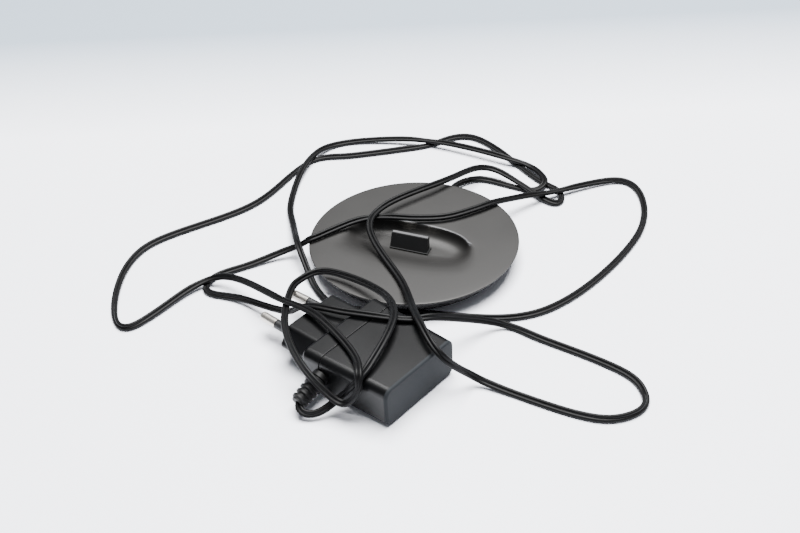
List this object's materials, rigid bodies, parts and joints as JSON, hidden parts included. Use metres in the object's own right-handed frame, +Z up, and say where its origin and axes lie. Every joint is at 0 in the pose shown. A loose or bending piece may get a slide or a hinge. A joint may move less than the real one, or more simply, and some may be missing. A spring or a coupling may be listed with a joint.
{
  "type": "charging stand with power adapter",
  "caption": "Low round charging stand with an oval well and contact tongue, a long flat twin cord lying in loops, and a plug-in power adapter with two round pins.",
  "frame": {"origin": "middle of the stand's underside, on the table", "axes": "+Z up; +X along the long axis of the well; +Y towards the cord's exit at the back of the stand"},
  "size_m": [0.2335, 0.2144, 0.0222],
  "materials": {
    "cover": "satin grey with a faint metallic sheen",
    "dark_shell": "fine matt",
    "tongue": "smooth black",
    "steel": "zinc plated",
    "contacts": "nickel plated, bright",
    "adapter_case": "polished black with rounded edges",
    "end_panel": "fine satin, a little lighter than the case",
    "rubber": "soft matt",
    "board": "green lacquer",
    "winding": "enamelled copper wire, taped",
    "ferrite": "sintered ferrite",
    "capacitor": "film sleeve",
    "cord": "flexible plastic with a slight gloss"
  },
  "bodies": {
    "stand": {"top_cover": "cover", "bottom_shell": "dark_shell", "ballast_ring": "steel", "contact_tongue": "tongue", "charge_board": "board", "case_screw_1": "steel", "foot_1": "rubber", "case_screw_2": "steel", "foot_2": "rubber", "case_screw_3": "steel", "foot_3": "rubber", "cord_grommet": "rubber", "cord_clamp": "dark_shell", "adapter_front_housing": "adapter_case", "adapter_rear_housing": "adapter_case", "adapter_end_panel": "end_panel", "plug_pin_left": "contacts", "pin_sleeve_left": "dark_shell", "plug_pin_right": "contacts", "pin_sleeve_right": "dark_shell", "cord_boot": "rubber", "adapter_board": "board", "transformer_bobbin": "winding", "transformer_core": "ferrite", "input_capacitor": "capacitor", "output_capacitor": "capacitor", "cord": "cord"},
    "left_contact": {"contact_left": "contacts"},
    "right_contact": {"contact_right": "contacts"}
  },
  "joints": [
    {"name": "press_left", "type": "slide", "parent": "stand", "child": "left_contact", "axis": [0, -1, 0], "range_m": [0, 0.0006], "stiffness_N_per_m": 400},
    {"name": "press_right", "type": "slide", "parent": "stand", "child": "right_contact", "axis": [0, -1, 0], "range_m": [0, 0.0006], "stiffness_N_per_m": 400}
  ]
}
